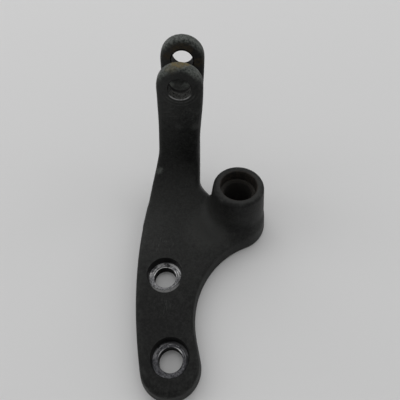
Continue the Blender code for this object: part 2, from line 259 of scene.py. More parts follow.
@dataclass
class Boss:
    """The tall tapered boss on the plate's lobe, with its stepped bore."""

    centre: Pair = (33.9 * MM, 58.8 * MM)
    height: float = 33.0 * MM
    top_radius: float = 12.95 * MM
    draft: float = math.radians(6.1)
    edge_round: float = 1.5 * MM
    foot_fillet: float = 6.0 * MM
    mouth_radius: float = 9.3 * MM
    mouth_depth: float = 6.6 * MM
    inner_radius: float = 7.3 * MM
    ledge_bevel: float = 0.3 * MM
    lip_round: float = 0.8 * MM
    tool_start: float = -1.0 * MM

    def cone_distance(self, x: Array, y: Array, z: Array) -> Array:
        """Distance to the cone: that to its axis less the radius at this height, times the draft's cosine."""
        radius = self.top_radius + (self.height - z) * math.tan(self.draft)
        return (np.hypot(x - self.centre[0], y - self.centre[1]) - radius) * math.cos(self.draft)

    def bore_tool(self) -> "TurnedTool":
        """The tool that cuts the stepped bore: the through bore, the ledge, the wide mouth and its lip.

        Returns:
            The tool.
        """
        ledge, bevel = self.height - self.mouth_depth, self.ledge_bevel
        profile = [
            (0, self.tool_start),
            (self.inner_radius, self.tool_start),
            (self.inner_radius, ledge - bevel),
            (self.inner_radius + bevel, ledge),
            (self.mouth_radius, ledge),
            *flared_lip(self.mouth_radius, self.height, self.lip_round),
        ]
        return TurnedTool(profile, (*self.centre, 0), "Z")


@dataclass
class Clevis:
    """The two round ears at the arm's end, the slot between them and the pin hole through both."""

    pin_x: float = 5.15 * MM
    pin_height: float = 79.0 * MM
    pin_hole_radius: float = 5.1 * MM
    ear_radius: float = 10.5 * MM
    ear_thickness: float = 5.85 * MM
    slot_width: float = 15.7 * MM
    slot_below_pin: float = 14.0 * MM
    slot_corner: float = 2.0 * MM
    slot_edge_round: float = 0.8 * MM
    lip_round: float = 0.55 * MM
    tool_overrun: float = 0.8 * MM

    @property
    def depth(self) -> float:
        """Depth of the two ears and the slot together."""
        return 2 * self.ear_thickness + self.slot_width

    def slot_distance(self, y: Array, z: Array, front_y: float) -> Array:
        """Distance to the slot: the larger of those to its cheeks and to its floor, with round corners."""
        cheeks = np.abs(y - (front_y + self.depth / 2)) - self.slot_width / 2
        return round_max(cheeks, self.pin_height - self.slot_below_pin - z, self.slot_corner)

    def pin_tools(self, front_y: float) -> list["TurnedTool"]:
        """The tools that cut the pin hole through each ear.

        Each is a cylinder about the pin. The front one starts with the worn lip, a quarter round at the
        ear's outer face.

        Args:
            front_y: Where the front ear's outer face lies.

        Returns:
            One tool for each ear.
        """
        r, lip, past = self.pin_hole_radius, self.lip_round, self.tool_overrun
        lip_arc = arc((r + lip, front_y + lip), lip, 2 * math.pi - LIP_TURN, math.pi, LIP_STEP)
        start, end = front_y - past, front_y + self.ear_thickness + past
        front = [(0, start), (lip_arc[0][0] + past, start), *map(tuple, lip_arc), (r, end), (0, end)]
        start, end = end + self.slot_width - 2 * past, front_y + self.depth + past
        rear = [(0, start), (r, start), (r, end), (0, end)]
        return [TurnedTool(tool, (self.pin_x, 0, self.pin_height), "Y") for tool in (front, rear)]


@dataclass
class Arm:
    """The bar that is bent up from the plate and deepens into the clevis.

    The holds say how much of the foot's and the ears' width is kept halfway to the neck. The shares are of
    the bend's length and, for the ears, of the pin's height.
    """

    plate: Plate
    clevis: Clevis
    front_y: float = 75.6 * MM
    bend_radius: float = 26.0 * MM
    foot_depth: float = 13.0 * MM
    neck_depth: float = 16.0 * MM
    slant_end: float = 8.0 * MM
    foot_left_x: float = -17.2 * MM
    foot_right_x: float = 30.0 * MM
    neck_left_x: float = -8.1 * MM
    neck_right_x: float = 13.4 * MM
    left_round: float = 1.3 * MM
    right_round: float = 3.6 * MM
    ear_front_round: float = 1.5 * MM
    ear_back_round: float = 1.0 * MM
    back_round: float = 2.2 * MM
    edge_window: float = 9.0 * MM
    depth_window: float = 7.0 * MM
    foot_hold: float = 0.6
    ear_hold: float = 0.65
    right_shares: Pair = (0.2, 0.55)
    lean_share: float = 0.75
    ear_shares: Pair = (0.72, 0.95)
    overlap: float = 2.0 * MM

    @property
    def bend_length(self) -> float:
        """Length of the front face round the bend, a quarter turn of its radius."""
        return self.bend_radius * math.pi / 2

    @property
    def bend_centre(self) -> Pair:
        """Where the bend's axis lies, as y and z."""
        return self.front_y - self.bend_radius, self.plate.thickness + self.bend_radius

    @property
    def path_length(self) -> float:
        """Length along the front face from the bend's start to the pin's height."""
        return self.bend_length + self.clevis.pin_height - self.bend_centre[1]

    def path(self, y: Array, z: Array) -> tuple[Array, Array]:
        """Station along the front face and depth behind it.

        In the bend the station is the radius times the angle about the bend's axis, and the depth is the
        distance from that axis less the radius. Before and after it they run straight on.

        Args:
            y: The points' y.
            z: Their z.

        Returns:
            The stations and the depths.
        """
        dy, dz = y - self.bend_centre[0], self.bend_centre[1] - z
        ahead, below = np.maximum(dy, 0), np.maximum(dz, 0)
        station = self.bend_radius * np.arctan2(ahead, below) + np.minimum(dy, 0)
        station = np.where(dz > 0, station, self.bend_length * (dy > 0) - dz + np.minimum(dy, 0))
        return station, np.hypot(ahead, below) - self.bend_radius

    def edges(self, station: Array) -> tuple[Array, Array, Array]:
        """Left edge, right edge and thickness of the bar at a station.

        The left edge is a soft line from the plate's width to the neck's and then the ears'. The right edge
        eases off the boss between two shares of the bend, and out again to the ears.

        Args:
            station: Length along the front face.

        Returns:
            The left edge, the right edge and the thickness.
        """
        bend, end = self.bend_length, self.path_length
        ear_left = self.clevis.pin_x - self.clevis.ear_radius
        ear_right = self.clevis.pin_x + self.clevis.ear_radius
        foot, neck = self.foot_left_x, self.neck_left_x
        foot_half = neck + (foot - neck) * self.foot_hold
        ear_half = neck + (ear_left - neck) * self.ear_hold
        knots = [0, bend / 2, bend, (bend + end) / 2, end]
        left = soft_line(station, knots, [foot, foot_half, neck, ear_half, ear_left], self.edge_window)
        right = self.foot_right_x + (ear_right - self.neck_right_x) * ease(station, bend, end)
        eased = ease(station, *(share * bend for share in self.right_shares))
        right += (self.neck_right_x - self.foot_right_x) * eased
        slot_floor = self.clevis.pin_height - self.clevis.slot_below_pin
        knots = [0, bend, bend + slot_floor - self.slant_end - self.bend_centre[1]]
        levels = [self.foot_depth, self.neck_depth, self.clevis.depth]
        return left, right, soft_line(station, knots, levels, self.depth_window)

    def distance(self, x: Array, y: Array, z: Array) -> tuple[Array, Array]:
        """Distance to the bar, and to the front face within its right edge.

        Across, the bar lies between its edges, whose left one leans out below the front face as the plate's
        wall does. Above the pin it lies within the ear's radius of the pin. Its depth runs from the front
        face to the thickness, and its long edges are rounded, the right one more than the left.

        Args:
            x: The points' x.
            y: Their y.
            z: Their z.

        Returns:
            The distance to the bar, and that to the front face, which the boss's fillet runs out on.
        """
        station, depth = self.path(y, z)
        left, right, thickness = self.edges(station)
        lean = math.tan(self.plate.draft) * (1 - ease(station, 0, self.lean_share * self.bend_length))
        left = left - np.clip(depth, 0, self.plate.thickness) * lean
        across = np.maximum(left - x, x - right)
        pin_x, pin_z = self.clevis.pin_x, self.clevis.pin_height
        round_pin = np.hypot(x - pin_x, z - pin_z) - self.clevis.ear_radius
        across = np.where(z > pin_z, round_pin, across)

        to_ears = ease(z, *(share * pin_z for share in self.ear_shares))
        to_right = ease(x, self.neck_left_x, self.neck_right_x)
        edge = self.left_round + (self.right_round - self.left_round) * to_right
        edge = edge + (self.ear_front_round - edge) * to_ears
        back_edge = self.back_round + (self.ear_back_round - self.back_round) * to_ears
        bar = round_max(round_max(across, -depth, edge), depth - thickness, back_edge)
        face = round_max(x - right, -depth, self.right_round)
        return np.maximum(bar, -self.overlap - station), face


@dataclass
class TurnedTool:
    """A cutter: a profile of radius and height, turned about a vertical or a level axis."""

    profile: list[Pair]
    place: Triple
    axis: str
    steps: int = 112

    def mesh_arrays(self) -> tuple[Array, Array]:
        """Points and faces of the turned profile.

        A point is the profile's radius times the cosine and sine of the turn, at the profile's height. The
        first and the last point lie on the axis and close the ends.

        Returns:
            The points, and the faces as quads whose last corner repeats at the two ends.
        """
        radius, height = np.array(self.profile).T
        turn = np.arange(self.steps) * 2 * math.pi / self.steps
        across = radius[1:-1, None] * np.cos(turn), radius[1:-1, None] * np.sin(turn)
        level = np.broadcast_to(height[1:-1, None], across[0].shape)
        body = np.stack((*across, level), axis=-1).reshape(-1, 3)
        points = np.vstack((body, (0, 0, height[0]), (0, 0, height[-1])))
        index = np.arange(len(body)).reshape(-1, self.steps)
        beside = np.roll(index, -1, axis=1)
        sides = np.stack((index[:-1], beside[:-1], beside[1:], index[1:]), axis=-1)
        low, high = np.full(self.steps, len(body)), np.full(self.steps, len(body) + 1)
        bottom = np.stack((low, beside[0], index[0], index[0]), axis=-1)
        top = np.stack((high, index[-1], beside[-1], beside[-1]), axis=-1)
        faces = np.vstack((sides.reshape(-1, 4), bottom, top))
        if self.axis == "Y":
            points = points[:, [1, 2, 0]]
        return points + np.array(self.place), faces


def surface_nets(values: Array, low: Array, cell: float) -> tuple[Array, Array]:
    """Quads round the zero level of values on a grid.

    Each cell that the level passes through gets one point, the mean of where its edges cross the level.
    Each grid edge that crosses it gets one quad, through the four cells that share the edge.

    Args:
        values: Signed distances on the grid, below zero inside.
        low: The grid's lowest corner.
        cell: Its spacing.

    Returns:
        The points and the quads.
    """
    inside = values < 0
    shape = np.array(values.shape) - 1
    corners = list(product((0, 1), repeat=3))
    views = [tuple(slice(o, o + n) for o, n in zip(corner, shape)) for corner in corners]
    count = sum(inside[view].astype(np.int8) for view in views)
    cells = np.argwhere((count > 0) & (count < 8))
    number = np.full(shape, -1)
    number[tuple(cells.T)] = np.arange(len(cells))

    at_corner = [values[tuple((cells + corner).T)] for corner in corners]
    total = np.zeros((len(cells), 3))
    crossings = np.zeros(len(cells))
    for a, b in product(range(8), repeat=2):
        step = np.subtract(corners[b], corners[a])
        if step.min() < 0 or step.sum() != 1:
            continue
        crosses = (at_corner[a] < 0) != (at_corner[b] < 0)
        share = at_corner[a] / np.where(crosses, at_corner[a] - at_corner[b], 1)
        total += np.where(crosses[:, None], corners[a] + share[:, None] * step, 0)
        crossings += crosses
    points = low + cell * (cells + total / crossings[:, None])

    quads = []
    for axis in range(3):
        order = (axis, (axis + 1) % 3, (axis + 2) % 3)
        within = np.transpose(inside, order)
        cell_number = np.transpose(number, order)
        i, j, k = np.nonzero(within[:-1, 1:-1, 1:-1] != within[1:, 1:-1, 1:-1])
        around = ((j, k), (j + 1, k), (j + 1, k + 1), (j, k + 1))
        quad = np.stack([cell_number[i, *pair] for pair in around], axis=-1)
        outward = within[i, j + 1, k + 1]
        quads.append(np.where(outward[:, None], quad, quad[:, ::-1]))
    return points, np.vstack(quads)


def blurred(values: Array, passes: int) -> Array:
    """Values on a grid, each pass a quarter, half and quarter of three neighbours along every axis.

    Args:
        values: The values.
        passes: How many passes.

    Returns:
        The blurred values.
    """
    for _ in range(passes):
        for axis in range(3):
            padded = np.pad(values, [(int(a == axis),) * 2 for a in range(3)], "edge")
            ahead, behind = (np.roll(padded, shift, axis) for shift in (1, -1))
            middle = tuple(slice(1, -1) if a == axis else slice(None) for a in range(3))
            values = (0.5 * padded + 0.25 * (ahead + behind))[middle]
    return values


def mesh_from(name: str, points: Array, quads: Array) -> bpy.types.Mesh:
    """A mesh of points and quads, where a quad that repeats its last corner is a triangle.

    Args:
        name: The mesh's name.
        points: Its points, one to a row.
        quads: Its quads.

    Returns:
        The mesh.
    """
    mesh = bpy.data.meshes.new(name)
    faces = [quad[:3] if quad[2] == quad[3] else quad for quad in quads.tolist()]
    mesh.from_pydata(points.tolist(), [], faces)
    mesh.validate()
    return mesh


def shown(data: bpy.types.ID) -> bpy.types.Object:
    """Put a mesh, a camera or a lamp into the scene.

    Args:
        data: What is put there.

    Returns:
        Its object, under the same name.
    """
    thing = bpy.data.objects.new(data.name, data)
    bpy.context.scene.collection.objects.link(thing)
    return thing


def read(items: bpy.types.bpy_prop_collection, name: str, width: int, kind: type = float) -> Array:
    """One property of all items of a mesh.

    Args:
        items: The mesh's vertices, edges or faces.
        name: The property's name.
        width: How many numbers it has.
        kind: Their type.

    Returns:
        The numbers, one item to a row.
    """
    values = np.empty(len(items) * width, kind)
    items.foreach_get(name, values)
    return values.reshape(-1, width)


@dataclass
class Casting:
    """The whole casting: plate, boss, arm and clevis in one skin, with its holes cut."""

    plate: Plate = field(default_factory=Plate)
    boss: Boss = field(default_factory=Boss)
    clevis: Clevis = field(default_factory=Clevis)
    cell: float = 0.62 * MM
    margin: float = 3.0 * MM
    blur_passes: int = 1
    face_gap: float = 0.02 * MM
    sharp_angle: float = math.radians(35)
    wear_passes: int = 3
    full_wear: float = 0.1

    def __post_init__(self) -> None:
        """Make the arm, which joins the plate to the clevis."""
        self.arm = Arm(self.plate, self.clevis)

    def distance(self, x: Array, y: Array, z: Array) -> Array:
        """Signed distance to the uncut casting.

        It is the least of the distances to the plate, the arm, the boss and the boss's fillet, which is kept
        within the plate's walls. The slot and the space behind the plate are then taken away.

        Args:
            x: The points' x.
            y: Their y.
            z: Their z.

        Returns:
            The distances, in the shape that the three broadcast to.
        """
        plate, boss = self.plate, self.boss
        wall = plate.wall_distance(x, y, z)
        top = z - plate.thickness
        slab = round_max(wall, top, plate.edge_round)
        bar, face = self.arm.distance(x, y, z)
        cone = boss.cone_distance(x, y, z)
        tower = round_max(cone, z - boss.height, boss.edge_round)
        foot = round_min(np.minimum(top, face), tower, boss.foot_fillet)
        foot = round_max(foot, wall, plate.edge_round)
        whole = np.minimum(np.minimum(slab, bar), np.minimum(tower, foot))
        slot = self.clevis.slot_distance(y, z, self.arm.front_y)
        whole = round_max(whole, -slot, self.clevis.slot_edge_round)
        return round_max(whole, -z, plate.back_edge_round)

    def skin(self) -> bpy.types.Mesh:
        """The uncut skin: the distance on a grid round the casting's box, blurred a little, and meshed.

        Returns:
            The mesh.
        """
        low, high = (np.array(corner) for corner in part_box(NODE))
        low = low - self.margin
        counts = np.ceil((high + self.margin - low) / self.cell).astype(int) + 1
        x, y, z = (low[a] + self.cell * np.arange(counts[a]) for a in range(3))
        values = self.distance(x[:, None, None], y[None, :, None], z[None, None, :])
        points, quads = surface_nets(blurred(values, self.blur_passes), low, self.cell)
        return mesh_from("cast_skin", points, quads)

    def tools(self) -> list[TurnedTool]:
        """Every cutter: two for the bolt holes, one for the bore and two for the pin hole."""
        pin_tools = self.clevis.pin_tools(self.arm.front_y)
        return [*self.plate.seat_tools(), self.boss.bore_tool(), *pin_tools]

    def cut(self, skin: bpy.types.Mesh) -> bpy.types.Mesh:
        """Take the turned tools out of the skin.

        Args:
            skin: The uncut skin.

        Returns:
            The cut mesh.
        """
        parts = [tool.mesh_arrays() for tool in self.tools()]
        starts = np.cumsum([0] + [len(points) for points, _ in parts[:-1]])
        points = np.vstack([points for points, _ in parts])
        quads = np.vstack([faces + start for (_, faces), start in zip(parts, starts)])
        tools = mesh_from("tools", points, quads)
        facing = bmesh.new()
        facing.from_mesh(tools)
        bmesh.ops.recalc_face_normals(facing, faces=facing.faces)
        facing.to_mesh(tools)
        facing.free()
        body, cutter = shown(skin), shown(tools)
        cut = body.modifiers.new("cut", "BOOLEAN")
        cut.operation, cut.solver, cut.object = "DIFFERENCE", "EXACT", cutter
        bpy.context.view_layer.update()
        graph = bpy.context.evaluated_depsgraph_get()
        mesh = bpy.data.meshes.new_from_object(body.evaluated_get(graph))
        for thing in (body, cutter):
            bpy.data.objects.remove(thing, do_unlink=True)
        return mesh

    def surfaces(self, centres: Array) -> Array:
        """The finish of each face, from where it lies.

        Faces within a hole's mouth, and short of the faces that the hole opens in, belong to the hole.

        Args:
            centres: The faces' centres.

        Returns:
            The number of each face's material slot.
        """
        x, y, z = centres.T
        tiny = self.face_gap
        kind = np.full(len(centres), Surface.CAST_SKIN.value)
        plate, boss, clevis = self.plate, self.boss, self.clevis
        seat_reach = plate.seat_mouth_radius + plate.mouth_round
        rows = [(hole, seat_reach, plate.thickness, Surface.BOLT_SEAT) for hole in plate.holes]
        rows.append((boss.centre, boss.mouth_radius + boss.lip_round, boss.height, Surface.BOSS_BORE))
        for centre, reach, top, surface in rows:
            near = np.hypot(x - centre[0], y - centre[1]) < reach
            kind[near & (z > tiny) & (z < top - tiny)] = surface.value
        reach = clevis.pin_hole_radius + clevis.lip_round + tiny
        near = np.hypot(x - clevis.pin_x, z - clevis.pin_height) < reach
        kind[near & (y > self.arm.front_y + tiny)] = Surface.PIN_HOLE.value
        return kind

    def worn(self, mesh: bpy.types.Mesh) -> Array:
        """How far each point stands proud of its neighbours, from 0 on a flat to 1 on a tight edge.

        It is the mean over the point's edges of how far the neighbour lies below the point's plane, over
        the edge's length, and then the mean of that among neighbours.

        Args:
            mesh: The cut mesh.

        Returns:
            One value to a point.
        """
        points, normals = read(mesh.vertices, "co", 3), read(mesh.vertices, "normal", 3)
        edges = read(mesh.edges, "vertices", 2, int)
        start, end = np.vstack((edges, edges[:, ::-1])).T
        along = points[end] - points[start]
        length = np.maximum(np.linalg.norm(along, axis=1), 1e-6)
        drop = -np.einsum("ij,ij->i", along, normals[start]) / length
        ways = np.maximum(np.bincount(start, minlength=len(points)), 1)
        value = np.bincount(start, drop, len(points)) / ways
        for _ in range(self.wear_passes):
            value = (value + np.bincount(start, value[end], len(points)) / ways) / 2
        return np.clip(value / self.full_wear, 0, 1)

    def build(self) -> bpy.types.Object:
        """Make the casting as one object, with its finishes and its wear.

        Returns:
            The finished piece.
        """
        mesh = self.cut(self.skin())
        mesh.name = "footrest_hanger"
        mesh.materials.clear()
        for finish in finishes(self):
            mesh.materials.append(finish)
        kinds = self.surfaces(read(mesh.polygons, "center", 3)).astype(np.int32)
        mesh.polygons.foreach_set("material_index", kinds)
        mesh.polygons.foreach_set("use_smooth", np.ones(len(mesh.polygons), bool))
        mesh.set_sharp_from_angle(angle=self.sharp_angle)
        wear = mesh.attributes.new("wear", "FLOAT", "POINT")
        wear.data.foreach_set("value", self.worn(mesh).astype(np.float32))
        piece = shown(mesh)
        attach(piece, "root")
        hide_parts(NODE)
        return piece


def put(value: object, socket: Socket) -> None:
    """Link a worked-out value to a socket, or set the socket to a plain number or colour.

    Args:
        value: The value, number or colour.
        socket: The input that gets it.
    """
    if isinstance(value, Value):
        socket.id_data.links.new(value.socket, socket)
    else:
        socket.default_value = (*value, 1) if socket.type == "RGBA" else value


def made(
    tree: bpy.types.NodeTree, kind: str, inputs: dict, output: str | int = 0, **options: str
) -> "Value":
    """What a new node gives.

    Args:
        tree: The node tree that it goes into.
        kind: Its kind.
        inputs: Its inputs by name or number.
        output: The output that is wanted.
        options: Its named options.

    Returns:
        That output's value.
    """
    node = tree.nodes.new("ShaderNode" + kind)
    for name, option in options.items():
        setattr(node, name, option)
    for name, value in inputs.items():
        put(value, node.inputs[name])
    return Value(node.outputs[output])


@dataclass(frozen=True)
class Value:
    """A number or colour that a material works out at each point of the surface."""

    socket: Socket

    def math(self, operation: str, *others: object) -> "Value":
        """One step of arithmetic on this number and others."""
        inputs = dict(enumerate((self, *others)))
        return made(self.socket.id_data, "Math", inputs, operation=operation)

    def __add__(self, other: object) -> "Value":
        """The sum of two numbers."""
        return self.math("ADD", other)

    def __mul__(self, other: object) -> "Value":
        """Their product."""
        return self.math("MULTIPLY", other)

    def __or__(self, other: object) -> "Value":
        """The larger of the two."""
        return self.math("MAXIMUM", other)

    def step(self, low: float, high: float) -> "Value":
        """A smooth step from 0 at low to 1 at high."""
        inputs = {"Value": self, "From Min": low, "From Max": high}
        return made(self.socket.id_data, "MapRange", inputs, interpolation_type="SMOOTHSTEP")

    def band(self, low: float, high: float, soft: float) -> "Value":
        """1 between two numbers and 0 outside them, over soft edges."""
        return self.step(low - soft, low + soft) * self.step(high + soft, high - soft)

    def spread(self, low: float, high: float) -> "Value":
        """The range from 0 to 1, carried to low and high."""
        return self.math("MULTIPLY_ADD", high - low, low)

    def mix(self, first: object, second: object, blend: str = "MIX") -> "Value":
        """The first colour where this is 0, and the second, or its product with the first, where it is 1."""
        inputs = {0: self, 6: first, 7: second}
        return made(self.socket.id_data, "Mix", inputs, 2, data_type="RGBA", blend_type=blend)


class Nodes:
    """A material under construction, with its colour so far and the fields that its wear is made of.

    Places are in metres, and what is counted from them is in millimetres.
    """

    def __init__(self, name: str, colour: Colour) -> None:
        """Start a material on its plain shader.

        Args:
            name: The material's name.
            colour: Its colour under all wear.
        """
        self.material = bpy.data.materials.new(name)
        self.material.use_nodes = True
        self.tree = self.material.node_tree
        self.shader = self.tree.nodes["Principled BSDF"]
        self.place = made(self.tree, "TexCoord", {}, "Object")
        self.colour = colour

    def coat(self, share: Value, colour: object) -> None:
        """Lay a colour over the colour so far, by a share."""
        self.colour = share.mix(self.colour, colour)

    def noise(
        self, size: float, detail: float, rough: float, seed: float, place: Value | None = None
    ) -> Value:
        """Noise on the piece's own coordinates.

        Args:
            size: Size of the largest grains.
            detail: How many finer layers it has.
            rough: How strong the finer layers are.
            seed: Shift that sets this noise apart from the others.
            place: Coordinates to read in place of the piece's own.

        Returns:
            The noise, about 0.5 on average.
        """
        at = {"Vector": place or self.place, "Location": (seed, seed, seed)}
        grain = {"Scale": 1 / (size * MM), "Detail": detail, "Roughness": rough}
        return made(self.tree, "TexNoise", {"Vector": made(self.tree, "Mapping", at), **grain})

    def attribute(self, name: str) -> Value:
        """A number that the mesh carries at its points."""
        return made(self.tree, "Attribute", {}, "Fac", attribute_name=name)

    def axis(self, name: str, start: float = 0.0) -> Value:
        """How far the surface point lies past a start along X, Y or Z."""
        along = made(self.tree, "SeparateXYZ", {0: self.place}, name)
        return along.math("MULTIPLY_ADD", 1 / MM, -start / MM)

    def reach(self, axis: str, centre: Pair, radius: float = 0.0) -> Value:
        """How far the point lies from a line along an axis, the root of its squared gaps, less a radius."""
        one, other = (self.axis(name, at) for name, at in zip("XYZ".replace(axis, ""), centre))
        return (one * one + other * other).math("SQRT") + -radius / MM

    def drawn_out(self, axis: str, share: float) -> Value:
        """The piece's coordinates with one axis shrunk, so that noise on them is drawn out along it."""
        scale = tuple(share if name == axis else 1 for name in "XYZ")
        return made(self.tree, "Mapping", {"Vector": self.place, "Scale": scale})

    def patches(self, origin: Triple, *rows: tuple[float, ...]) -> Value:
        """Patches round points: each 1 within its radius and 0 past its edge, and the larger where two meet.

        Args:
            origin: Where the rows' offsets start.
            rows: Each patch's offset along X, Y and Z, its radius, the width of its edge, how far noise
                moves the edge in and out, and its share.

        Returns:
            The patches, each times its share.
        """
        patches = []
        for *offset, radius, soft, ragged, share in rows:
            centre = tuple(at + gap * MM for at, gap in zip(origin, offset))
            inputs = {0: self.place, 1: centre}
            length = made(self.tree, "VectorMath", inputs, "Value", operation="DISTANCE") * (1 / MM)
            if ragged:
                length += self.noise(2.6, 4, 0.7, 11).spread(-ragged, ragged)
            patches.append(length.step(radius + soft, radius) * share)
        return reduce(or_, patches)

    def bump(self, height: Value, depth: float, strength: float) -> None:
        """Let a height between 0 and 1 of this depth shape the surface."""
        inputs = {"Strength": strength, "Distance": depth * MM, "Height": height}
        put(made(self.tree, "Bump", inputs), self.shader.inputs["Normal"])

    def finish(self, rough: object, metal: object, specular: float) -> bpy.types.Material:
        """Set the shader: the colour so far, and how the surface shines.

        Args:
            rough: Its roughness.
            metal: How much of it is bare metal.
            specular: Its specular level.

        Returns:
            The material.
        """
        names = ("Base Color", "Roughness", "Metallic", "Specular IOR Level")
        for name, value in zip(names, (self.colour, rough, metal, specular)):
            put(value, self.shader.inputs[name])
        return self.material


@dataclass(frozen=True)
class SatinPaint:
    """Satin black paint over cast iron: grainy, lightened on the plate as painted light, worn through on the
    ears' crowns.
    """

    casting: Casting
    dark: Colour = (0.0058, 0.0060, 0.0058)
    pale: Colour = (0.0304, 0.0311, 0.0297)
    rubbed: Colour = (0.055, 0.057, 0.054)
    speck: Colour = (0.120, 0.129, 0.119)
    bare: Colour = (0.240, 0.240, 0.240)
    crown_grey: Colour = (0.022, 0.026, 0.023)
    rust: Colour = (0.118, 0.090, 0.032)
    old_rust: Colour = (0.044, 0.035, 0.021)
    gloss: float = 0.12

    def mottle_and_painted_light(self, nodes: Nodes) -> None:
        """Lighten the paint with a broad mottle and two grains, and with painted light and shade.

        The shares of the regions and of the noises are added up. As painted light, the plate is lighter
        towards its far end, the arm is lighter up towards the ears and on its left, and the plate is lighter
        beside the boss. The front half of the boss's rim gets a painted highlight. As painted shade, the
        boss's wall and the front of its foot stay dark.

        Args:
            nodes: The material under construction.
        """
        arm, boss = self.casting.arm, self.casting.boss
        height, along = nodes.axis("Z"), nodes.axis("Y")
        past_rim = nodes.reach("Z", boss.centre, boss.top_radius)
        above_rim = nodes.axis("Z", boss.height)
        # Painted light: lighter towards the plate's far end, up the arm, on the arm's left, and as a
        # highlight on the front of the boss's rim; painted shade on the boss's wall.
        plate = along.step(-5, 70) * height.step(40, 12)
        left = nodes.axis("X").step(9, -4) * height.step(20, 40)
        rim = past_rim.step(-0.2, -2.2) * above_rim.step(-2.5, -1)
        rim *= along.step(arm.front_y / MM, boss.centre[1] / MM)
        wall = past_rim.step(4, 2.5) * above_rim.step(-1, -4)
        share = plate.spread(-0.94, -0.24) + height.step(48, 72) * 0.40 + left * 0.39
        share = share + rim * 0.58 + wall * -0.11
        # Painted light on the plate beside the boss, and painted shade at the front of the boss's foot.
        for row in (
            (18, 46, 10, 5, 12, 0, 0.38), (22, 40, 10, 2, 6, 0, 0.14), (36, 42, 13, 4, 6, 0, -0.32)
        ):
            share += nodes.patches((0, 0, 0), row)
        for size, detail, seed, weight in ((14, 2, 0, 0.37), (2.2, 3, 19, 0.65), (0.9, 3, 3, 1.09)):
            share += nodes.noise(size, detail, 0.6, seed) * weight
        nodes.coat(share, self.pale)

    def edges(self, nodes: Nodes) -> None:
        """Rub the proud edges pale in patches, and chip sparse specks out of the paint.

        Args:
            nodes: The material under construction.
        """
        patchy = nodes.noise(2.6, 4, 0.65, 7).step(0.42, 0.68)
        nodes.coat(nodes.attribute("wear") * patchy * 0.42, self.rubbed)
        nodes.coat(nodes.noise(1.0, 1, 0.5, 29).step(0.72, 0.80) * 0.35, self.rubbed)

    def slot(self, nodes: Nodes) -> None:
        """Old rust on the rear ear's inner face, and a floor lightened in a patch and two specks, scuffed by
        the footrest's tongue and painted light where light falls into the slot.

        Args:
            nodes: The material under construction.
        """
        clevis = self.casting.clevis
        cheek = self.casting.arm.front_y + clevis.ear_thickness + clevis.slot_width
        inner = nodes.axis("Y", cheek).step(1.5, 0.8)
        old = nodes.patches(
            (clevis.pin_x, cheek, clevis.pin_height),
            (-0.5, 0, 7.0, 4.6, 1.8, 2.5, 0.8),
            (7.5, 0, -1.0, 1.6, 1.6, 2.0, 0.8),
            (-7.0, 0, 2.0, 1.2, 1.6, 2.0, 0.8),
        )
        thin = nodes.noise(1.5, 3, 0.7, 47).step(0.34, 0.62)
        nodes.coat(old * thin * inner, self.old_rust)
        # Scuffs and painted light on the slot's floor: a patch and two specks lightened where light falls in
        # from above.
        floor = (clevis.pin_x, cheek, clevis.pin_height - clevis.slot_below_pin)
        uneven = nodes.noise(1.5, 3, 0.7, 49).step(0.35, 0.65).spread(0.35, 1.0)
        scuffed_and_lit = nodes.patches(floor, (-2, -1, 1.5, 6.0, 2.5, 1.5, 1))
        nodes.coat(scuffed_and_lit * uneven * inner, self.rubbed)
        spots = nodes.patches(floor, (-6.4, 0, 0.4, 0.5, 2.2, 3.0, 1), (1.0, -0.8, 0, 0.4, 2.0, 3.0, 1))
        nodes.coat(spots * uneven * inner, self.speck)

    def crowns(self, nodes: Nodes) -> None:
        """Wear the crowns of both ears to speckled grey, with rust on the front one.

        Args:
            nodes: The material under construction.
        """
        clevis = self.casting.clevis
        reach = nodes.reach("Y", (clevis.pin_x, clevis.pin_height), clevis.ear_radius)
        outer = (reach + nodes.noise(3.0, 3, 0.7, 45).spread(-1.4, 1.4)).step(-2.4, -0.5)
        up = nodes.axis("Z", clevis.pin_height).step(1, 8)
        speckle = nodes.noise(1.1, 4, 0.75, 41).step(0.34, 0.68)
        nodes.coat(outer * up, speckle.mix(self.crown_grey, self.speck))
        back = self.casting.arm.front_y + clevis.ear_thickness
        patch = nodes.patches(
            (clevis.pin_x, back, clevis.pin_height + clevis.ear_radius),
            (0.2, -1.2, 0, 2.6, 1.8, 1.6, 1),
            (3.2, -1.0, 0, 1.2, 1.5, 1.2, 1),
            (-3.0, -3.6, 0, 1.6, 2.4, 1.8, 0.4),
        )
        blotchy = nodes.noise(1.3, 4, 0.75, 43).step(0.26, 0.62)
        nodes.coat(patch * blotchy * 0.95, self.rust)

    def pin_mouth(self, nodes: Nodes) -> None:
        """Bare the lower lip of the front ear's hole, bright as bared metal and as a painted highlight where
        it catches light from above, and rub two faint rings round it.

        Args:
            nodes: The material under construction.
        """
        clevis = self.casting.clevis
        edge = clevis.pin_hole_radius + clevis.lip_round
        reach = nodes.reach("Y", (clevis.pin_x, clevis.pin_height), edge)
        height = nodes.axis("Z", clevis.pin_height)
        front = nodes.axis("Y", self.casting.arm.front_y).step(1.5, 1.0)
        patchy = nodes.noise(2.0, 3, 0.6, 53).step(0.30, 0.55)
        rings = reach.band(1.4, 2.0, 0.3) | reach.band(3.0, 3.5, 0.3) * 0.5
        nodes.coat(rings * height.step(-1, -4) * front * patchy * 0.70, self.rubbed)
        # Bare metal and painted highlight: the lower lip made bright where it catches light from above.
        lip = reach.step(0.60, 0.15) * height.step(-2.4, -4.8)
        nodes.coat(lip * front * patchy.spread(0.5, 1.3), self.bare)

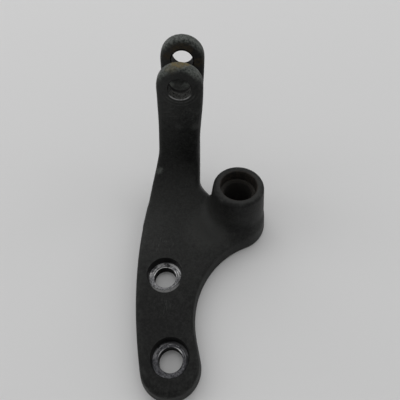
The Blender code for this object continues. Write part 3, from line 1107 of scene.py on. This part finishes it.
    def marks(self, nodes: Nodes) -> None:
        """Rubbed spots on the arm's edges, faint scratches on the plate and a bared rim at the far seat.

        Args:
            nodes: The material under construction.
        """
        plate, face = self.casting.plate, (0, self.casting.arm.front_y, 0)
        nodes.coat(nodes.patches(face, (-8.6, -2, 26.0, 0.3, 2.5, 3.0, 0.72)), self.speck)
        spots = nodes.patches(
            face, (3.2, 0, 57, 0.6, 2.6, 3.0, 0.30), (11.8, 1, 57, 0.8, 2.8, 3.0, 0.48)
        )
        nodes.coat(spots, self.rubbed)
        chipped = nodes.patches(face, (9.8, 0, 63, 3.0, 3.0, 2.0, 0.40))
        nodes.coat(chipped * nodes.noise(1.2, 3, 0.7, 59).step(0.50, 0.62), self.rubbed)
        below = nodes.patches(face, (1.5, 0, 66.5, 3.0, 2.5, 0, 0.35))
        across = nodes.noise(0.9, 2, 0.6, 63, nodes.drawn_out("X", 0.14)).step(0.52, 0.64)
        nodes.coat(below * across, self.rubbed)
        where = nodes.patches(
            (0, 0, plate.thickness), (-4.0, 36.5, 0, 4.5, 2.5, 0, 0.5), (-2.6, 3.4, 0, 2.6, 2.5, 0, 0.5)
        )
        lines = nodes.noise(0.9, 2, 0.6, 61, nodes.drawn_out("Y", 0.16)).step(0.56, 0.66)
        nodes.coat(where * lines, self.rubbed)
        x, y = plate.holes[1]
        mouth = plate.seat_mouth_radius + plate.mouth_round
        rim = nodes.reach("Z", (x + 0.6 * MM, y - 2 * MM), mouth).step(-0.6, -1.1)
        nearer = nodes.axis("Y", y).step(-4.2, -7.0)
        above = nodes.axis("Z", plate.thickness).step(-1.2, -0.7)
        scraped = nodes.noise(1.6, 3, 0.6, 67).step(0.26, 0.5)
        nodes.coat(rim * nearer * above * scraped * 0.55, self.bare)

    def material(self) -> bpy.types.Material:
        """Lay the paint and then each kind of wear and painted light over it.

        Returns:
            The material.
        """
        nodes = Nodes("satin_black_paint", self.dark)
        for layer in (self.mottle_and_painted_light, self.edges, self.slot, self.crowns, self.pin_mouth, self.marks):
            layer(nodes)
        nodes.bump(nodes.noise(0.8, 4, 0.65, 23), 0.14, 0.6)
        return nodes.finish(nodes.noise(4, 3, 0.55, 17).spread(0.42, 0.60), 0.0, self.gloss)


@dataclass(frozen=True)
class BareSeat:
    """The counterbores: floors worn to bright turned iron with painted highlights and painted shade, under
    walls that keep their paint.
    """

    plate: Plate
    metal: Colour = (0.27, 0.27, 0.28)
    dull: Colour = (0.070, 0.071, 0.074)
    bright: Colour = (0.76, 0.76, 0.76)
    paint: Colour = (0.0066, 0.0066, 0.0064)
    # Painted shade: the unlit colour darkens the bolt holes' walls.
    unlit: Colour = (0.0020, 0.0020, 0.0018)
    # Painted shade: the near tone darkens the near floor.
    near_shade_tone: Colour = (0.42, 0.42, 0.4368)

    def material(self) -> bpy.types.Material:
        """Bare the floors with turned rings, with bright arcs and flecks on their far halves and a glint on
        the near inner edge as painted highlights, and the near floor darker and the bolt holes' walls dark as
        painted shade.

        Returns:
            The material.
        """
        nodes = Nodes("bare_bolt_seat", self.dull)
        plate = self.plate
        near_hole, far_hole = plate.holes
        hole, seat = plate.bolt_hole_radius / MM, plate.seat_radius / MM
        floor = plate.thickness - plate.seat_depth
        near = nodes.axis("Y").step(2, -2)
        reach = nodes.reach("Z", near_hole).math("MINIMUM", nodes.reach("Z", far_hole))
        chips = nodes.noise(1.6, 4, 0.7, 5).spread(-0.9, 0.9)
        bare = (nodes.axis("Z", floor) + chips).step(0.70, 0.35) * reach.step(hole + 0.08, hole + 0.20)

        turned = {0: reach * (2.6 * MM), 1: nodes.axis("X") * MM, 2: nodes.axis("Y") * MM}
        rings = nodes.noise(2.0, 4, 0.7, 9, made(nodes.tree, "CombineXYZ", turned))
        grain = nodes.noise(0.8, 2, 0.6, 15) * 0.6 + rings * 0.5
        nodes.coat(grain.step(0.40, 0.70), self.metal)
        # Painted highlights: bright arcs and flecks on the far half of each floor, where the wall's shade
        # falls.
        behind = nodes.axis("Y", far_hole[1]).step(-1, 2)
        behind |= nodes.axis("Y", near_hole[1]).band(0.5, 2 * seat, 1.5)
        arcs = [
            reach.band(low, high, 0.2) * behind * nodes.noise(size, 3, 0.55, seed).step(0.40, 0.54)
            for low, high, size, seed in ((5.5, 6.0, 5, 73), (6.7, 7.1, 3, 79), (7.3, 8.2, 4, 77))
        ]
        highlight_flecks = nodes.noise(1.1, 3, 0.7, 71).step(0.58, 0.68) * behind.spread(0.25, 0.8)
        nodes.coat(reduce(or_, arcs, highlight_flecks), self.bright)

        # The floors darkened with the walls' paint colour: on the near seat outside a circle set a little
        # left of the hole, and in small patches on both.
        shifted = (near_hole[0] - 0.8 * MM, near_hole[1] - 0.4 * MM)
        darkened_floor = (nodes.reach("Z", shifted) + chips * 0.5).step(seat - 0.7, seat - 0.1) * near
        darkened_floor |= nodes.patches(
            (*near_hole, floor),
            (1.1 * seat, 1, 0, 1.0, 3.0, 1.0, 1),
            (0.9 * seat, 5, 0, 0.6, 2.5, 1.0, 1),
        )
        darkened_floor |= nodes.patches(
            (*far_hole, floor), (1, 6.3, 0, 0.5, 1.2, 0.8, 1), (seat, -1, 0, 2.0, 3.0, 1.0, 0.45)
        )
        nodes.coat(darkened_floor * 0.75, self.paint)
        # Painted shade: the near floor is multiplied darker.
        nodes.colour = near.mix(nodes.colour, self.near_shade_tone, "MULTIPLY")
        # Painted highlight: a glint along the near floor's inner edge.
        glint = nodes.noise(2.4, 3, 0.55, 85).step(0.48, 0.60)
        nodes.coat(arcs[0] * near * glint * 0.7, self.bright)
        # Painted shade: the bolt holes' walls take the unlit colour, and the counterbores' walls keep the
        # paint.
        painted = reach.step(hole + 0.3, hole + 0.6).mix(self.unlit, self.paint)
        nodes.colour = bare.mix(painted, nodes.colour)
        nodes.bump(rings, 0.16, 0.7)
        return nodes.finish(nodes.noise(1.2, 3, 0.55, 13).spread(0.36, 0.58), bare * 0.8, 0.05)


@dataclass(frozen=True)
class RustyBore:
    """The boss's bore: brown rust on dark walls, painted light below the ledge, and a ledge in painted shade
    that is rubbed pale behind, by the wall.
    """

    boss: Boss
    dark: Colour = (0.0120, 0.0113, 0.0103)
    rust: Colour = (0.0300, 0.0245, 0.0200)
    rubbed: Colour = (0.0420, 0.0395, 0.0345)
    ledge_shade: Colour = (0.0190, 0.0168, 0.0140)
    lit_below_ledge: Colour = (0.0380, 0.0365, 0.0340)

    def material(self) -> bpy.types.Material:
        """Spread the rust over the dark wall in patches, down to the ledge. Lighten the bore below the ledge
        as painted light, and give the ledge painted shade, rubbed pale behind by the wall.

        Returns:
            The material.
        """
        nodes, boss = Nodes("rusty_bore", self.dark), self.boss
        nodes.coat(nodes.noise(2.2, 4, 0.7, 2).step(0.40, 0.66), self.rust)
        height = nodes.axis("Z", boss.height - boss.mouth_depth)
        # Painted light: the bore below the ledge lifted to a lighter colour.
        nodes.coat(height.step(0, -0.8), self.lit_below_ledge)
        # Painted shade on the ledge, rubbed pale behind by the wall.
        by_wall = nodes.reach("Z", boss.centre, boss.mouth_radius).step(-1.3, -0.8)
        behind = nodes.axis("Y", boss.centre[1]).step(-2, 2)
        ledge = (by_wall * behind).mix(self.ledge_shade, self.rubbed)
        nodes.coat(height.band(-0.3, 0.2, 0.2), ledge)
        nodes.bump(nodes.noise(0.8, 3, 0.6, 4), 0.12, 0.6)
        return nodes.finish(0.6, 0.0, 0.25)


@dataclass(frozen=True)
class WornPinHole:
    """The pin hole's walls: darker than the paint as painted shade, and grey at the front ear's mouth, worn
    where the pin bears and painted as lit on the lower wall.
    """

    casting: Casting
    # Painted shade: the walls' colour is darker than the casting's paint.
    paint: Colour = (0.0018, 0.0016, 0.0013)
    worn: Colour = (0.070, 0.070, 0.066)

    def material(self) -> bpy.types.Material:
        """Grey the lower half of the front hole, from its mouth to most of its depth, as wear and painted
        light. The rest keeps the darker painted shade.

        Returns:
            The material.
        """
        nodes = Nodes("worn_pin_hole", self.paint)
        ragged = nodes.noise(2.2, 3, 0.6, 83).spread(-0.8, 0.8)
        mouth = (nodes.axis("Y", self.casting.arm.front_y) + ragged).step(4.6, 3.6)
        low = nodes.axis("Z", self.casting.clevis.pin_height).step(1, -3)
        patchy = nodes.noise(1.2, 4, 0.7, 6).step(0.34, 0.62)
        # Pin wear and painted light: the lower wall near the mouth made grey.
        nodes.coat(mouth * low * patchy, self.worn)
        nodes.bump(nodes.noise(0.6, 3, 0.6, 8), 0.08, 0.5)
        return nodes.finish(0.6, 0.0, 0.1)


def finishes(casting: Casting) -> list[bpy.types.Material]:
    """The casting's materials, in the order of its slots."""
    kinds = (SatinPaint(casting), BareSeat(casting.plate), RustyBore(casting.boss), WornPinHole(casting))
    return [kind.material() for kind in kinds]


@dataclass
class Studio:
    """A pale floor, soft light and a camera close above the near end of the plate."""

    camera_place: Triple = (19.55 * MM, -61.74 * MM, 186.09 * MM)
    camera_aim: Triple = (13.32 * MM, 72.95 * MM, 0.0)
    camera_roll: float = math.radians(-1.21)
    focal_pixels: float = 381.0
    image_width: float = 400.0
    sensor_width: float = 36.0
    clip_start: float = 0.005
    floor_size: float = 6.0
    floor_colour: Colour = (0.70, 0.70, 0.70)
    floor_gap: float = 0.05 * MM
    lamps: tuple[tuple[str, Triple, float, float], ...] = (
        ("back_lamp", (-0.15, 1.15, 1.45), 2.4, 17),
        ("left_lamp", (-1.3, 0.2, 0.8), 1.0, 3.5),
        ("right_lamp", (1.3, 0.3, 0.8), 1.0, 2.8),
    )
    lamp_aim: Triple = (0.01, 0.04, 0.03)
    sky_strength: float = 0.42

    def hang(self, data: bpy.types.ID, place: Triple, aim: Triple) -> bpy.types.Object:
        """Put a camera or a lamp into the scene, at a place and facing its aim.

        Args:
            data: The camera's or the lamp's data.
            place: Where it hangs.
            aim: The point that it faces.

        Returns:
            Its object.
        """
        thing = shown(data)
        turn = (Vector(aim) - Vector(place)).to_track_quat("-Z", "Y").to_matrix()
        thing.matrix_world = Matrix.Translation(place) @ turn.to_4x4()
        return thing

    def camera(self) -> None:
        """Place the camera, and roll it about the line from its place to its aim."""
        data = bpy.data.cameras.new("camera")
        data.sensor_width = self.sensor_width
        data.lens = self.focal_pixels / self.image_width * self.sensor_width
        data.clip_start = self.clip_start
        aimed = self.hang(data, self.camera_place, self.camera_aim)
        aimed.matrix_world @= Matrix.Rotation(self.camera_roll, 4, "Z")
        bpy.context.scene.camera = aimed

    def floor(self) -> None:
        """Lay the pale floor just under the casting's back."""
        half = self.floor_size / 2
        corners = np.array([(-half, -half), (half, -half), (half, half), (-half, half)])
        points = np.column_stack((corners, np.full(4, -self.floor_gap)))
        mesh = mesh_from("floor", points, np.array([(0, 1, 2, 3)]))
        nodes = Nodes("pale_floor", self.floor_colour)
        mesh.materials.append(nodes.finish(0.9, 0.0, 0.5))
        shown(mesh)

    def build(self) -> None:
        """Set the camera, the floor, the soft lamps, each with its width and watts, and the sky."""
        self.camera()
        self.floor()
        for name, place, size, power in self.lamps:
            data = bpy.data.lights.new(name, "AREA")
            data.size, data.energy = size, power
            self.hang(data, place, self.lamp_aim)
        world = bpy.data.worlds.new("room")
        world.use_nodes = True
        sky = world.node_tree.nodes["Background"]
        sky.inputs["Color"].default_value = (1, 1, 1, 1)
        sky.inputs["Strength"].default_value = self.sky_strength
        bpy.context.scene.world = world
        bpy.context.scene.view_settings.view_transform = "Standard"


def main() -> None:
    """Build the casting and the studio round it, and log the casting's face count."""
    logging.basicConfig(level=logging.INFO, format="%(name)s: %(message)s")
    piece = Casting().build()
    log.info("%s: %d faces", piece.name, len(piece.data.polygons))
    Studio().build()
    log.info("studio: camera, floor and lamps")


if __name__ == "__main__":
    main()
